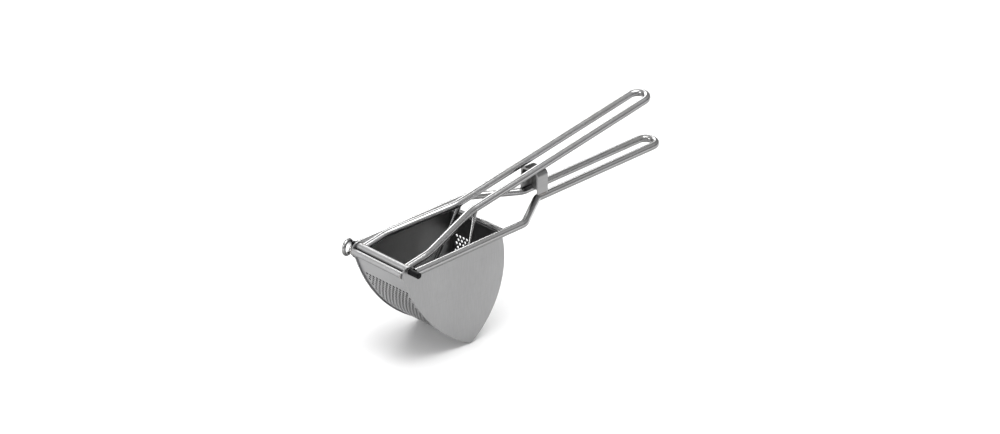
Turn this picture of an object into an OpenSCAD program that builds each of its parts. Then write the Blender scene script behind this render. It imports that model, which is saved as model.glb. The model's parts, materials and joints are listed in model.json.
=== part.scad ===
// Potato ricer with two looped rod handles, a perforated wedge hopper and a
// hinged pusher. Working frame: +X to the grips, +Z up, +Y to the far side.
// The shapes are written about a point by the front rim bar, level with the
// frame handle, then moved so the row's origin is the centre of the underside
// of the whole ricer's box.

/* [Handles] */
// Diameter of both handle rods
rod_d = 8; // [7:0.25:8.5]
// Distance from the front rim bar to the centre of the frame handle's end loop
frame_reach = 374.7; // [340:5:400]
// Distance along the lever from the hinge axis to the centre of its end loop
lever_reach = 356.9; // [330:5:380]
// Half the distance between the two rods of a grip, centre to centre
grip_half = 10.25; // [9:0.25:12]
// Angle of the lever above the frame handle when shut, degrees
lever_tilt = 8.85; // [8:0.05:10]
// Radius of the bends in the frame rod, on its centreline
bend_r = 14; // [12:1:18]
// Radius of the gentler bends in the lever rod, on its centreline
lever_bend_r = 45; // [20:5:60]

/* [Hinge] */
// Diameter of the pull-out pivot pin
pin_d = 6.4; // [6:0.1:6.6]
// Outside diameter of the lever's hinge tube
tube_d = 8.2; // [8.1:0.1:8.6]
// Diameter of the front rim bar
front_bar_d = 6.5; // [6:0.1:7]
// Outside diameter of the pin's pull ring
ring_od = 18.5; // [17:0.5:24]
// Thickness of the pull ring's wire
ring_wire = 4; // [3:0.1:4]
// Radius of the rounded corner of each side plate that carries the pin
lobe_r = 8.6; // [7.5:0.1:9]

/* [Hopper] */
// Half the distance between the two rim rods, centre to centre
rim_half = 41; // [40:0.5:46]
// Thickness of the two side plates
plate_t = 1.5; // [1.2:0.1:2]
// Thickness of the two perforated sheets
screen_t = 1.2; // [1:0.1:1.4]
// Diameter of the punched holes
hole_d = 3.1; // [2:0.1:3.2]
// Distance between neighbouring holes
hole_pitch = 4.8; // [4.7:0.1:8]
// Thickness of the pusher blade
blade_t = 2; // [1.5:0.1:2.5]

/* [Hidden] */
$fn = 64;
running = 0.05;
rr = rod_d / 2;
plate_out = rim_half - rr;
plate_in = plate_out - plate_t;
inset = 1.5;
arm_half = 30;
blade_half = plate_in - 1.4;
// the hinge axis, and the front rim bar below and in front of it
pivot = [8, 1.25];
front_bar = [-0.3, -1.2];
pin_end = 51.5;
core_d = 4.4;
black_in = plate_out + 0.4;
black_out = 43.5;
// the pull ring's top passes through the pin
ring_y = 46;
ring_r = (ring_od - ring_wire) / 2;
ring_c = pivot + ring_r * [-0.98, -0.2] / norm([0.98, 0.2]);
ring_yaw = 14;
rod_start = pivot[0] + pin_d / 2 + 0.7;

// side profile: two arcs that meet at the tip
front_c = [166.8, 43.75];
front_r = 172;
rear_c = [42.5, -29];
rear_r = 94;
cc = norm(front_c - rear_c);
// where two circles cross, lower crossing
function cross_pt(a, ra, b, rb) =
    let (d = norm(b - a), u = (b - a) / d,
         m = (ra * ra - rb * rb + d * d) / (2 * d),
         h = sqrt(ra * ra - m * m))
    [a[0] + u[0] * m + u[1] * h, a[1] + u[1] * m - u[0] * h];
tip = cross_pt(rear_c, rear_r, front_c, front_r);
seam_r = 2;
seam = cross_pt(rear_c, rear_r - inset - screen_t / 2, front_c, front_r - inset - screen_t / 2);

rim_bar_r = 3;
rim_bar = [rear_c[0] + sqrt(pow(rear_r - inset + rim_bar_r, 2) - pow(-1 - rear_c[1], 2)), -1];

blade_or = front_r - inset - screen_t - 1;
blade_reach = 120;

// the frame rod's corners, in plan
rim_end = 160.5;
neck = 208.2;
// the lever rod's corners along its own plane
lever_s1 = 31.9;
lever_s2 = 108.9;

strut_d = 4;

// stop arch between the grips
arch_x0 = neck - 1;
arch_len = 14;
arch_r = 12.5;
arch_t = 2;
web_t = 1.5;
arch_corner = 6;
arch_flat = arch_r - arch_corner;
arch_z = pivot[1] + (arch_x0 - pivot[0]) * tan(lever_tilt)
    - sqrt(pow(arch_corner + rr + 0.3, 2) - pow(grip_half - arch_flat, 2)) / cos(lever_tilt);

// the whole ricer's box, about the hinge axis
box_x = [pivot[0] + (ring_c[0] - pivot[0] - ring_r) * cos(ring_yaw) - ring_wire / 2, frame_reach + grip_half + rr];
base_z = tip[1];
ox = (box_x[0] + box_x[1]) / 2;

function unit(v) = v / norm(v);
function turn(a, b) = atan2(a[0] * b[1] - a[1] * b[0], a * b);

module placed() { translate([-ox, 0, -base_z]) children(); }
module along_y(r, y0, y1) {
    translate([0, y0, 0]) rotate([-90, 0, 0]) cylinder(r = r, h = y1 - y0);
}
module at(p) { translate([p[0], 0, p[1]]) children(); }

// a straight rod from a to b, round
module rod(a, b, r) {
    v = b - a;
    translate(a) rotate([0, acos(v[2] / norm(v)), atan2(v[1], v[0])])
        cylinder(r = r, h = norm(v));
}

// one bend in plan: comes from a, turns at c, leaves to d
module bend(a, c, d, br, r) {
    u = unit(c - a);
    w = unit(d - c);
    t = turn(u, w);
    back = br * tan(abs(t) / 2);
    s = c - u * back;
    side = t > 0 ? 1 : -1;
    o = s + side * br * [-u[1], u[0]];
    st = atan2(s[1] - o[1], s[0] - o[0]);
    translate([o[0], o[1], 0]) rotate([0, 0, t > 0 ? st : st + t])
        rotate_extrude(angle = abs(t)) translate([br, 0]) circle(r = r - draw);
}
function setback(a, c, d, br) = br * tan(abs(turn(unit(c - a), unit(d - c))) / 2);
module plan_rod(a, b, r) { rod([a[0], a[1], 0], [b[0], b[1], 0], r); }

// bends thin the rod a hair, and straights run a hair into them
draw = 0.03;
lap = 0.3;
// half of a looped handle: start p0, bends p1 and p2, straight to p3
module half_handle(p0, p1, p2, p3, r, br) {
    k1 = setback(p0, p1, p2, br);
    k2 = setback(p1, p2, p3, br);
    u0 = unit(p1 - p0);
    u1 = unit(p2 - p1);
    u2 = unit(p3 - p2);
    plan_rod(p0, p1 - u0 * (k1 - lap), r);
    bend(p0, p1, p2, br, r);
    plan_rod(p1 + u1 * (k1 - lap), p2 - u1 * (k2 - lap), r);
    bend(p1, p2, p3, br, r);
    plan_rod(p2 + u2 * (k2 - lap), p3 + u2 * lap, r);
}
module looped_handle(p0, p1, p2, p3, r, br) {
    half_handle(p0, p1, p2, p3, r, br);
    mirror([0, 1, 0]) half_handle(p0, p1, p2, p3, r, br);
    translate([p3[0], 0, 0]) rotate([0, 0, -90])
        rotate_extrude(angle = 180) translate([p3[1], 0]) circle(r = r - draw);
}
module on_lever() {
    at(pivot) rotate([0, -lever_tilt, 0]) children();
}

// the side plate's outline in X and Z, from its two arcs
module shield(inset_by, top) {
    intersection() {
        translate(front_c) circle(r = front_r - inset_by, $fn = 360);
        translate(rear_c) circle(r = rear_r - inset_by, $fn = 360);
        translate([-50, -200]) square([300, 200 + top]);
    }
}
module upright(y0, y1) {
    translate([0, y1, 0]) rotate([90, 0, 0]) linear_extrude(y1 - y0) children();
}
// sheet bent to an arc about c, between the side plates
module arc_sheet(c, r_out, t, half) {
    at(c) difference() {
        along_y(r_out, -half, half, $fn = 360);
        along_y(r_out - t, -half - 1, half + 1, $fn = 360);
    }
}

module frame_rod() {
    color([0.78, 0.78, 0.79]) placed()
        looped_handle([rod_start, rim_half], [rim_end, rim_half], [neck, grip_half],
            [frame_reach, grip_half], rr, bend_r);
}

module side_plate() {
    difference() {
        upright(plate_in, plate_out) union() {
            shield(0, -1.5);
            translate(pivot - [1, 3.4]) circle(r = lobe_r);
        }
        at(pivot) along_y(pin_d / 2 + running, plate_in - 1, plate_out + 1);
    }
}
module side_plate_left() { color([0.66, 0.66, 0.67]) placed() side_plate(); }
module side_plate_right() {
    color([0.66, 0.66, 0.67]) placed() mirror([0, 1, 0]) side_plate();
}

// staggered holes punched square to a bent sheet
module punch(c, r, a0, a1, flip) {
    step = hole_pitch * 0.866 / r * 180 / PI;
    rows = floor((a1 - a0) / step);
    cols = floor((plate_in - 6) / hole_pitch);
    at(c) for (i = [0 : rows - 1])
        rotate([0, flip * (a0 + i * step), 0])
            for (j = [-cols : cols])
                if (abs(j + (i % 2) / 2) * hole_pitch < plate_in - 6)
                    translate([flip * (r - 3), (j + (i % 2) / 2) * hole_pitch, 0])
                        rotate([0, flip * 90, 0]) cylinder(d = hole_d, h = 5, $fn = 16);
}
function deg_below(c, p) = atan2(c[1] - p[1], abs(p[0] - c[0]));

module front_screen() {
    r = front_r - inset;
    color([0.62, 0.62, 0.63]) placed() difference() {
        intersection() {
            arc_sheet(front_c, r, screen_t, plate_in);
            translate([-20, -60, seam[1]]) cube([seam[0] + 20, 120, -seam[1] - 2.4]);
        }
        at(seam) along_y(seam_r, -60, 60);
        at(front_bar) along_y(front_bar_d / 2, -60, 60);
        punch(front_c, r, 24.8, deg_below(front_c, seam) - 3.4, -1);
    }
}
module rear_screen() {
    r = rear_r - inset;
    color([0.6, 0.6, 0.61]) placed() difference() {
        intersection() {
            arc_sheet(rear_c, r, screen_t, plate_in);
            translate([seam[0], -60, seam[1]]) cube([100, 120, -seam[1] - 1.5]);
        }
        at(seam) along_y(seam_r, -60, 60);
        at(rim_bar) along_y(rim_bar_r, -60, 60);
        punch(rear_c, r, 0.6, deg_below(rear_c, seam) - 5, 1);
    }
}

module front_rim_bar() {
    color([0.8, 0.8, 0.81]) placed() at(front_bar)
        along_y(front_bar_d / 2, -plate_in, plate_in);
}
module rear_rim_bar() {
    color([0.72, 0.72, 0.73]) placed() difference() {
        at(rim_bar) along_y(rim_bar_r, -rim_half, rim_half);
        for (s = [-1, 1]) translate([0, s * rim_half, 0])
            rotate([0, 90, 0]) cylinder(r = rr, h = 200);
        for (s = [0, 1]) mirror([0, s, 0]) upright(plate_in, plate_out) shield(0, -1.5);
    }
}
module bottom_seam_bar() {
    color([0.7, 0.7, 0.71]) placed() at(seam) along_y(seam_r, -plate_in, plate_in);
}

module arch_outline(r) {
    for (side = [-1, 1]) translate([side * arch_flat, arch_z]) circle(r = r - arch_flat);
    translate([-r, 0]) square([2 * r, arch_z]);
    translate([-arch_flat, 0]) square([2 * arch_flat, arch_z + r - arch_flat]);
}
module stop_arch() {
    color([0.74, 0.74, 0.75]) placed() difference() {
        translate([arch_x0, 0, 0]) rotate([90, 0, 90]) linear_extrude(arch_len)
            arch_outline(arch_r);
        translate([arch_x0 - 1, 0, -1]) rotate([90, 0, 90])
            linear_extrude(arch_len + 1 - web_t) translate([0, 1]) arch_outline(arch_r - arch_t);
        translate([arch_x0 - 1, -arch_r + arch_t, -1])
            cube([arch_len + 1 - web_t, 2 * (arch_r - arch_t), 3]);
        half_cut();
        mirror([0, 1, 0]) half_cut();
    }
}
// the frame rod's near half again, to cope the arch's feet to it
module half_cut() {
    half_handle([rod_start, rim_half], [rim_end, rim_half], [neck, grip_half],
        [frame_reach, grip_half], rr, bend_r);
}

module lever_rod() {
    color([0.82, 0.82, 0.83]) placed() difference() {
        on_lever() looped_handle([1, arm_half], [lever_s1, arm_half],
            [lever_s2, grip_half], [lever_reach, grip_half], rr, lever_bend_r);
        at(pivot) along_y(tube_d / 2, -60, 60);
    }
}
module hinge_tube() {
    color([0.8, 0.8, 0.81]) placed() at(pivot) difference() {
        along_y(tube_d / 2, -plate_in + 0.4, plate_in - 0.4);
        along_y(pin_d / 2 + running, -60, 60);
    }
}

module blade_shape() {
    intersection() {
        arc_sheet(front_c, blade_or, blade_t, blade_half);
        at(pivot) along_y(blade_reach, -60, 60, $fn = 360);
        translate([-20, -60, -200]) cube([220, 120, 199.5]);
    }
}
module pusher_blade() {
    color([0.68, 0.68, 0.69]) placed() difference() {
        blade_shape();
        at(pivot) along_y(tube_d / 2, -60, 60);
    }
}

strut_top = [123, grip_half, pivot[1] + (123 - pivot[0]) * tan(lever_tilt)];
strut_low = [75.5, 30, -92.5];
module strut() {
    difference() {
        rod(strut_top, strut_low + 6 * unit(strut_low - strut_top), strut_d / 2);
        on_lever() rod([80, grip_half, 0], [150, grip_half, 0], rr);
        at(front_c) difference() {
            along_y(blade_or + 20, -60, 60, $fn = 360);
            along_y(blade_or - blade_t, -61, 61, $fn = 360);
        }
    }
}
module pusher_strut_left() { color([0.8, 0.8, 0.81]) placed() strut(); }
module pusher_strut_right() {
    color([0.8, 0.8, 0.81]) placed() mirror([0, 1, 0]) strut();
}

// steel pin, turned down under its two black sleeves
module pivot_pin() {
    color([0.75, 0.75, 0.76]) placed() at(pivot) difference() {
        union() {
            along_y(pin_d / 2, -black_in, black_in);
            along_y(core_d / 2, -pin_end + 2, black_out + 1);
            along_y(pin_d / 2, black_out, pin_end - 1);
            translate([0, pin_end - 1, 0]) rotate([-90, 0, 0])
                cylinder(r1 = pin_d / 2, r2 = pin_d / 2 - 1, h = 1);
        }
        ring_shape();
    }
}
module ring_shape() {
    translate([0, ring_y, 0]) rotate([0, 0, ring_yaw]) at(ring_c - pivot)
        rotate([90, 0, 0]) rotate_extrude() translate([ring_r, 0]) circle(d = ring_wire);
}
module pull_ring() {
    color([0.77, 0.77, 0.78]) placed() at(pivot) ring_shape();
}
module pin_sleeve_left() {
    color([0.06, 0.06, 0.065]) placed() at(pivot) difference() {
        along_y(pin_d / 2, black_in, black_out);
        along_y(core_d / 2, 0, 60);
    }
}
module pin_sleeve_right() {
    color([0.06, 0.06, 0.065]) placed() at(pivot) difference() {
        union() {
            along_y(pin_d / 2, -pin_end + 1, -black_in);
            translate([0, -pin_end + 1, 0]) rotate([90, 0, 0])
                cylinder(r1 = pin_d / 2, r2 = pin_d / 2 - 1, h = 1);
        }
        along_y(core_d / 2, -pin_end + 2, 0);
    }
}

frame_rod();
side_plate_left();
side_plate_right();
front_screen();
rear_screen();
front_rim_bar();
rear_rim_bar();
bottom_seam_bar();
stop_arch();
lever_rod();
hinge_tube();
pusher_blade();
pusher_strut_left();
pusher_strut_right();
pivot_pin();
pull_ring();
pin_sleeve_left();
pin_sleeve_right();
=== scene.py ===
import json
import math
import random

import bmesh
import bpy
from mathutils import Matrix, Vector


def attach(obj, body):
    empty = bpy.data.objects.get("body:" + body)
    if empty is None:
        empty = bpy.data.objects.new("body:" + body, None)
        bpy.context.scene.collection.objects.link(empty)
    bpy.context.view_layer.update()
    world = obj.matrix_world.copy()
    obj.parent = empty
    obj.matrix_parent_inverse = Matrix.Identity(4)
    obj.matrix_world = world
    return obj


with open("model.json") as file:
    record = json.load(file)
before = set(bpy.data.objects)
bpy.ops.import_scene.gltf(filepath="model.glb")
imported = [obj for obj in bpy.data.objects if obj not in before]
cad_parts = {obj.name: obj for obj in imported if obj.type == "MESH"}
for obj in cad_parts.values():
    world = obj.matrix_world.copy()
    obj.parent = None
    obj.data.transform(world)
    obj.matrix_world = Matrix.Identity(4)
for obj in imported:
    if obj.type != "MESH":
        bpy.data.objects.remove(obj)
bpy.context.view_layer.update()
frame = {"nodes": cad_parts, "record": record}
N = frame["nodes"]
REC = frame["record"]
JOINT = [j for j in REC["behaviour"]["joints"] if j["name"] == "lever_hinge"][0]
PIVOT = Vector(JOINT["pos_m"])  # hinge axis, on the mirror plane
P = PIVOT - Vector((8.0, 0, 1.25)) * 0.001  # the CAD source's own working origin
TILT = math.radians(8.85)
MM = 0.001
rng = random.Random(41)


# ---------------------------------------------------------------- materials
def new_mat(name):
    m = bpy.data.materials.new(name)
    m.use_nodes = True
    nt = m.node_tree
    nt.nodes.clear()
    out = nt.nodes.new("ShaderNodeOutputMaterial")
    b = nt.nodes.new("ShaderNodeBsdfPrincipled")
    nt.links.new(b.outputs["BSDF"], out.inputs["Surface"])
    return m, nt, b


def math_node(nt, op, a, b=None, clamp=False):
    n = nt.nodes.new("ShaderNodeMath")
    n.operation = op
    n.use_clamp = clamp
    for i, v in enumerate((a, b)):
        if v is None:
            continue
        if hasattr(v, "is_output"):
            nt.links.new(v, n.inputs[i])
        else:
            n.inputs[i].default_value = v
    return n.outputs[0]


def ramp(nt, src, stops, interp="LINEAR"):
    n = nt.nodes.new("ShaderNodeValToRGB")
    n.color_ramp.interpolation = interp
    els = n.color_ramp.elements
    while len(els) < len(stops):
        els.new(0.5)
    for el, (p, c) in zip(els, stops):
        el.position = p
        el.color = (c, c, c, 1) if not hasattr(c, "__len__") else (*c, 1)
    nt.links.new(src, n.inputs["Fac"])
    return n.outputs["Color"]


def noise(nt, scale, stretch=(1, 1, 1), detail=4.0, rough=0.55, turn=(0, 0, 0), offset=(0, 0, 0)):
    tc = nt.nodes.new("ShaderNodeTexCoord")
    mp = nt.nodes.new("ShaderNodeMapping")
    mp.inputs["Scale"].default_value = stretch
    mp.inputs["Rotation"].default_value = turn
    mp.inputs["Location"].default_value = offset
    nt.links.new(tc.outputs["Object"], mp.inputs["Vector"])
    n = nt.nodes.new("ShaderNodeTexNoise")
    n.inputs["Scale"].default_value = scale
    n.inputs["Detail"].default_value = detail
    n.inputs["Roughness"].default_value = rough
    nt.links.new(mp.outputs["Vector"], n.inputs["Vector"])
    return n.outputs["Fac"]


def steel(name, base, tint, rough, rough_var, grain, grain_scale, grain_bump, blotch, blotch_amt,
          aniso=0.0, turn=(0, 0, 0), wear=0.12, scratch=0.25, painted_shade_by_facing=None):
    """Stainless steel: drawn or brushed grain, blotches of handling, fine scratches and brighter worn edges; where
    given, painted shade and reflection by the way a surface faces.
    """
    m, nt, b = new_mat(name)
    L = nt.links
    g = noise(nt, grain_scale, grain, 5.0, 0.6, turn)
    bl = noise(nt, blotch, (1, 1, 1), 3.0, 0.5, (0, 0, 0), (3.1, 1.7, 0.4))
    sc = noise(nt, 900, (0.05, 1.0, 0.6), 2.0, 0.4, (0.3, 0.5, 0.9))
    scr = ramp(nt, sc, [(0.0, 0.0), (0.66, 0.0), (0.70, 1.0), (0.74, 0.0), (1.0, 0.0)])
    # colour
    mix = nt.nodes.new("ShaderNodeMix")
    mix.data_type = "RGBA"
    mix.inputs["A"].default_value = (*base, 1)
    mix.inputs["B"].default_value = (*tint, 1)
    f = math_node(nt, "MULTIPLY", ramp(nt, bl, [(0.35, 0.0), (0.65, 1.0)]), blotch_amt)
    L.new(f, mix.inputs["Factor"])
    geo = nt.nodes.new("ShaderNodeNewGeometry")
    edge = ramp(nt, geo.outputs["Pointiness"], [(0.50, 0.0), (0.56, 1.0)])
    edge_f = math_node(nt, "MULTIPLY", edge, wear)
    mix2 = nt.nodes.new("ShaderNodeMix")
    mix2.data_type = "RGBA"
    mix2.blend_type = "ADD"
    L.new(mix.outputs["Result"], mix2.inputs["A"])
    mix2.inputs["B"].default_value = (0.6, 0.6, 0.6, 1)
    L.new(edge_f, mix2.inputs["Factor"])
    gmul = nt.nodes.new("ShaderNodeMix")
    gmul.data_type = "RGBA"
    gmul.blend_type = "MULTIPLY"
    gmul.inputs["Factor"].default_value = 1.0
    L.new(mix2.outputs["Result"], gmul.inputs["A"])
    L.new(ramp(nt, g, [(0.3, 0.90), (0.7, 1.0)]), gmul.inputs["B"])
    col = gmul.outputs["Result"]
    if painted_shade_by_facing:
        # painted shade and reflection standing in for dark studio cards: multiplies the base colour by the world
        # direction a surface faces, darker underneath and along the very top; not wear or film on the metal
        sepn = nt.nodes.new("ShaderNodeSeparateXYZ")
        L.new(geo.outputs["Normal"], sepn.inputs[0])
        nz = math_node(nt, "MULTIPLY", math_node(nt, "ADD", sepn.outputs["Z"], 1.0), 0.5)
        facing_shade_mix = nt.nodes.new("ShaderNodeMix")
        facing_shade_mix.data_type = "RGBA"
        facing_shade_mix.blend_type = "MULTIPLY"
        facing_shade_mix.inputs["Factor"].default_value = 1.0
        L.new(col, facing_shade_mix.inputs["A"])
        L.new(ramp(nt, nz, painted_shade_by_facing), facing_shade_mix.inputs["B"])
        col = facing_shade_mix.outputs["Result"]
    L.new(col, b.inputs["Base Color"])
    b.inputs["Metallic"].default_value = 1.0
    # roughness
    r = math_node(nt, "MULTIPLY", math_node(nt, "SUBTRACT", g, 0.5), rough_var)
    r2 = math_node(nt, "MULTIPLY", math_node(nt, "SUBTRACT", bl, 0.5), rough_var * 0.8)
    r3 = math_node(nt, "ADD", math_node(nt, "ADD", r, r2), rough)
    r4 = math_node(nt, "ADD", r3, math_node(nt, "MULTIPLY", scr, 0.08 * scratch * 4), clamp=True)
    L.new(r4, b.inputs["Roughness"])
    if aniso:
        b.inputs["Anisotropic"].default_value = aniso
    bump = nt.nodes.new("ShaderNodeBump")
    bump.inputs["Strength"].default_value = grain_bump
    bump.inputs["Distance"].default_value = 0.0002
    h = math_node(nt, "SUBTRACT", g, math_node(nt, "MULTIPLY", scr, scratch))
    L.new(h, bump.inputs["Height"])
    L.new(bump.outputs["Normal"], b.inputs["Normal"])
    return m


# ROD and TUBE get painted shade underneath and a painted darker band along the very top, set by the world direction
# each surface faces
ROD = steel("rod_polished", (0.43, 0.43, 0.435), (0.33, 0.325, 0.31), 0.22, 0.14, (0.05, 1, 1), 700, 0.06, 22, 0.45,
            painted_shade_by_facing=[(0.0, 0.30), (0.32, 0.34), (0.50, 0.62), (0.62, 1.0), (0.88, 1.0), (1.0, 0.62)])
TUBE = steel("tube_satin", (0.37, 0.37, 0.375), (0.30, 0.295, 0.285), 0.44, 0.12, (1, 0.04, 1), 700, 0.10, 26, 0.4,
             painted_shade_by_facing=[(0.0, 0.35), (0.35, 0.45), (0.55, 0.85), (0.70, 1.0), (0.90, 1.0), (1.0, 0.8)])
PIN = steel("pin_turned", (0.44, 0.44, 0.445), (0.35, 0.345, 0.335), 0.27, 0.12, (1, 0.04, 1), 700, 0.10, 26, 0.4)
PLATE = steel("plate_satin", (0.262, 0.262, 0.264), (0.228, 0.228, 0.229), 0.42, 0.06, (1, 1, 0.10), 900, 0.03, 14, 0.5)
SCREEN = steel("screen_satin", (0.235, 0.235, 0.239), (0.19, 0.19, 0.192), 0.42, 0.10, (1, 0.04, 1), 500, 0.08, 18, 0.5)
# the pusher's base colour is darker than the other steel: painted shade for the hopper's dim inside seen through the
# screen holes; its scuffs are only in roughness and grain
PUSHER = steel("pusher_scuffed_painted_shade", (0.17, 0.17, 0.172), (0.12, 0.12, 0.122), 0.42, 0.14, (1, 0.05, 1), 450, 0.12, 18, 0.6)
ARCH = steel("arch_satin", (0.245, 0.245, 0.247), (0.20, 0.196, 0.188), 0.38, 0.12, (0.05, 1, 1), 500, 0.10, 30, 0.5)
WELD = steel("weld_bead_heat", (0.36, 0.355, 0.35), (0.20, 0.17, 0.13), 0.38, 0.2, (1, 1, 1), 900, 0.3, 160, 0.6)


def black_cap():
    m, nt, b = new_mat("cap_black")
    n1 = noise(nt, 900, (1, 1, 1), 4.0)
    n2 = noise(nt, 60, (1, 1, 1), 3.0)
    L = nt.links
    L.new(ramp(nt, n2, [(0.3, (0.003, 0.003, 0.0035)), (0.7, (0.009, 0.009, 0.010))]), b.inputs["Base Color"])
    L.new(math_node(nt, "ADD", math_node(nt, "MULTIPLY", n1, 0.15), 0.34), b.inputs["Roughness"])
    b.inputs["Specular IOR Level"].default_value = 0.08
    bump = nt.nodes.new("ShaderNodeBump")
    bump.inputs["Strength"].default_value = 0.12
    bump.inputs["Distance"].default_value = 0.0002
    L.new(n1, bump.inputs["Height"])
    L.new(bump.outputs["Normal"], b.inputs["Normal"])
    return m


CAP = black_cap()
SLOT_MAT = {"rod_steel": ROD, "tube_steel": TUBE, "pin_steel": PIN, "plate_steel": PLATE, "screen_steel": SCREEN,
            "arch_steel": ARCH, "pusher_steel": PUSHER, "black_sleeve": CAP}
for sp in REC["subparts"]:
    o = N[sp["node"]]
    o.data.materials.clear()
    o.data.materials.append(TUBE if sp["node"] == "front_rim_bar" else SLOT_MAT[sp["material_slot"]])


# ---------------------------------------------------------------- weld beads
def mesh_obj(name, bm, mat, body):
    me = bpy.data.meshes.new(name)
    bmesh.ops.recalc_face_normals(bm, faces=bm.faces)
    bm.to_mesh(me)
    bm.free()
    for p in me.polygons:
        p.use_smooth = True
    me.materials.append(mat)
    ob = bpy.data.objects.new(name, me)
    bpy.context.scene.collection.objects.link(ob)
    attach(ob, body)
    return ob


def bead(name, pts, r, body, closed=False, ripple=1.1 * MM, mat=None):
    """A weld bead along pts: a tube whose girth swells once per ripple, as the puddle freezes."""
    pts = [Vector(p) for p in pts]
    # resample
    seg = []
    n = len(pts)
    rngs = range(n) if closed else range(n - 1)
    total = sum((pts[(i + 1) % n] - pts[i]).length for i in rngs)
    count = max(8, int(total / (ripple / 4)))
    cum = [0.0]
    for i in rngs:
        cum.append(cum[-1] + (pts[(i + 1) % n] - pts[i]).length)

    def at(d):
        d = d % total if closed else min(max(d, 0), total)
        for i in rngs:
            if d <= cum[i + 1] + 1e-12:
                t = (d - cum[i]) / max(cum[i + 1] - cum[i], 1e-12)
                return pts[i].lerp(pts[(i + 1) % n], t)
        return pts[-1]

    bm = bmesh.new()
    rings = []
    sides = 10
    steps = count if closed else count + 1
    for k in range(steps):
        d = total * k / count
        p = at(d)
        tan = (at(d + total * 0.004) - at(d - total * 0.004))
        tan = tan.normalized() if tan.length > 0 else Vector((1, 0, 0))
        up = Vector((0, 0, 1)) if abs(tan.z) < 0.9 else Vector((1, 0, 0))
        a = tan.cross(up).normalized()
        c = tan.cross(a).normalized()
        ph = (d / ripple) % 1.0
        w = r * (0.86 + 0.2 * (1 - ph)) * (1 + 0.07 * math.sin(d * 2900) + 0.05 * rng.uniform(-1, 1))
        if not closed:
            e = min(k, steps - 1 - k) / 3.0
            w *= math.sqrt(min(1.0, 0.25 + e)) if e < 1 else 1.0
        rings.append([bm.verts.new(p + (a * math.cos(q) + c * math.sin(q)) * w)
                      for q in (2 * math.pi * s / sides for s in range(sides))])
    for k in range(steps if closed else steps - 1):
        r0, r1 = rings[k], rings[(k + 1) % steps]
        for s in range(sides):
            bm.faces.new((r0[s], r0[(s + 1) % sides], r1[(s + 1) % sides], r1[s]))
    if not closed:
        bm.faces.new(list(reversed(rings[0])))
        bm.faces.new(rings[-1])
    return mesh_obj(name, bm, mat or WELD, body)


def hp(x, y, z):
    """A point in the CAD source's working millimetres."""
    return P + Vector((x, y, z)) * MM


def lp(s, y, h=0.0):
    """A point on the lever's own plane: s along it, h square to it."""
    return PIVOT + Vector((s * math.cos(TILT) - h * math.sin(TILT), y, s * math.sin(TILT) + h * math.cos(TILT))) * MM


for side, tag in ((1, "left"), (-1, "right")):
    # lever arm to the hinge tube: a bead round the arm along the saddle where the two meet
    arc = []
    for k in range(36):
        q = 2 * math.pi * k / 36
        h = 3.95 * math.sin(q)
        arc.append(lp(math.sqrt(4.1 ** 2 - h * h) + 0.25, side * 30 + 4.0 * math.cos(q), h))
    bead("weld_arm_" + tag, arc, 0.5 * MM, "lever", closed=True)
    # strut feet and heads
    for nm, c, ax, rr in (("foot", (75.0, 30, -93.6), (47.5, -19.75, 111.6), 2.15),
                          ("head", (121.3, 10.95, 15.2), (47.5, -19.75, 111.6), 2.15)):
        v = Vector((ax[0], side * ax[1], ax[2])).normalized()
        a = v.cross(Vector((0, 1, 0))).normalized()
        b2 = v.cross(a).normalized()
        cpt = hp(c[0], side * c[1], c[2])
        ring = [cpt + (a * math.cos(q) + b2 * math.sin(q)) * rr * MM for q in (2 * math.pi * k / 20 for k in range(20))]
        bead("weld_strut_%s_%s" % (nm, tag), ring, 0.5 * MM, "lever", closed=True)
    # stop arch foot to the frame rod, outside
    bead("weld_arch_" + tag, [hp(209.0 + t, side * 12.75, 3.3) for t in (0, 3, 6, 9, 11)], 0.6 * MM, "frame")
    # front rim bar to the side plate
    bead("weld_front_bar_" + tag, [hp(-0.3 + 3.3 * math.cos(q), side * 35.3, -1.2 + 3.3 * math.sin(q)) for q in (math.radians(a) for a in range(130, 340, 12))], 0.45 * MM, "frame")
    # side plate tacked to the rim rod, from below
    for j, x0 in enumerate((18, 52, 86, 118)):
        bead("weld_rim_%s_%d" % (tag, j + 1), [hp(x0 + t, side * 37.35, -3.1) for t in (0, 2, 4, 6, 8)], 0.75 * MM, "frame")
    # rear rim bar to the rim rod
    ring = []
    for k in range(20):
        q = 2 * math.pi * k / 20
        zz = 3.05 * math.sin(q)
        yy = 41 - math.sqrt(max(4.0 ** 2 - (zz - 1) ** 2, 0))
        ring.append(hp(138.45 + 3.05 * math.cos(q), side * (yy - 0.1), -1 + zz))
    bead("weld_rim_bar_" + tag, ring, 0.5 * MM, "frame", closed=True)

# pusher blade to the hinge tube, inside
bead("weld_blade_top", [hp(6.9, y, -2.55) for y in range(-32, 33, 4)], 0.6 * MM, "lever")

# ---------------------------------------------------------------- floor, camera, light
def floor():
    bm = bmesh.new()
    s = 6.0
    n = 24
    vs = [[bm.verts.new((-s + 2 * s * i / n, -s + 2 * s * j / n, -0.0005)) for j in range(n + 1)] for i in range(n + 1)]
    for i in range(n):
        for j in range(n):
            bm.faces.new((vs[i][j], vs[i + 1][j], vs[i + 1][j + 1], vs[i][j + 1]))
    me = bpy.data.meshes.new("floor")
    bm.to_mesh(me)
    bm.free()
    m, nt, b = new_mat("floor_pale")
    n1 = noise(nt, 3, (1, 1, 1), 2.0)
    nt.links.new(ramp(nt, n1, [(0.2, 0.90), (0.8, 0.93)]), b.inputs["Base Color"])
    b.inputs["Roughness"].default_value = 0.8
    b.inputs["Specular IOR Level"].default_value = 0.2
    me.materials.append(m)
    o = bpy.data.objects.new("floor", me)
    bpy.context.scene.collection.objects.link(o)


floor()

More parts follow.
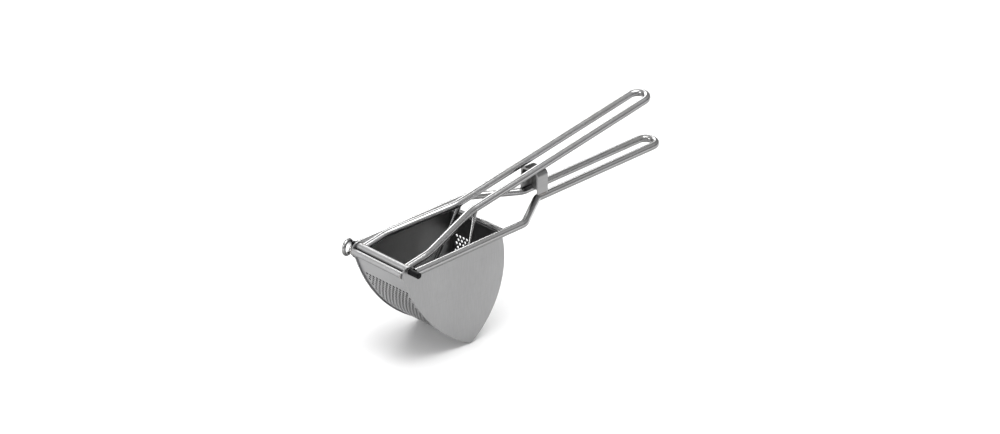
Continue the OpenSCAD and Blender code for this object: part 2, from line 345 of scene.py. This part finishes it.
PHI, EL = math.radians(-44.24), math.radians(27.52)
K, DIST = 0.9977, 1 / 0.000223  # px per mm at the aim point, mm
CX, CY = 509.8, 221.1
right = Vector((math.cos(PHI), math.sin(PHI), 0))
up = Vector((-math.sin(PHI) * math.sin(EL), math.cos(PHI) * math.sin(EL), math.cos(EL)))
into = Vector((-math.sin(PHI) * math.cos(EL), math.cos(PHI) * math.cos(EL), -math.sin(EL)))
cam_data = bpy.data.cameras.new("camera")
cam = bpy.data.objects.new("camera", cam_data)
bpy.context.scene.collection.objects.link(cam)
aim = hp(180, 0, -20)
loc = aim - into * (DIST * MM)
rot = Matrix((right, up, -into)).transposed().to_4x4()
cam.matrix_world = Matrix.Translation(loc) @ rot
cam_data.sensor_width = 36.0
cam_data.sensor_fit = "HORIZONTAL"
cam_data.lens = K * DIST * 36.0 / 1000.0
cam_data.shift_x = -(CX - 500.0) / 1000.0
cam_data.shift_y = (CY - 217.0) / 1000.0
cam_data.clip_end = 50
bpy.context.scene.camera = cam


def area(name, loc, target, size, power, color=(1, 1, 1), size_y=None):
    d = bpy.data.lights.new(name, "AREA")
    d.energy = power
    d.color = color
    d.shape = "RECTANGLE"
    d.size = size
    d.size_y = size_y or size
    o = bpy.data.objects.new(name, d)
    bpy.context.scene.collection.objects.link(o)
    o.location = loc
    o.rotation_euler = (Vector(target) - Vector(loc)).to_track_quat("-Z", "Y").to_euler()
    return o


area("key_top", (-0.2, -0.3, 2.2), (0, 0, 0.1), 1.8, 40, size_y=1.4)
area("fill_left", (-1.9, 0.6, 1.0), (0, 0, 0.05), 1.0, 14)
area("rim_back", (1.0, 1.7, 1.3), (0, 0, 0.05), 1.4, 22, size_y=0.7)

world = bpy.data.worlds.new("studio")
world.use_nodes = True
wn = world.node_tree
bg = wn.nodes["Background"]
tc = wn.nodes.new("ShaderNodeTexCoord")
sep = wn.nodes.new("ShaderNodeSeparateXYZ")
wn.links.new(tc.outputs["Generated"], sep.inputs[0])
mr = wn.nodes.new("ShaderNodeMapRange")
mr.inputs["From Min"].default_value = -0.2
mr.inputs["From Max"].default_value = 0.9
wn.links.new(sep.outputs["Z"], mr.inputs["Value"])
cr = wn.nodes.new("ShaderNodeValToRGB")
cr.color_ramp.elements[0].color = (0.16, 0.16, 0.165, 1)
cr.color_ramp.elements[1].color = (0.80, 0.80, 0.80, 1)
wn.links.new(mr.outputs["Result"], cr.inputs["Fac"])
wn.links.new(cr.outputs["Color"], bg.inputs["Color"])
bg.inputs["Strength"].default_value = 0.9
bpy.context.scene.world = world
bpy.context.scene.view_settings.view_transform = "Standard"
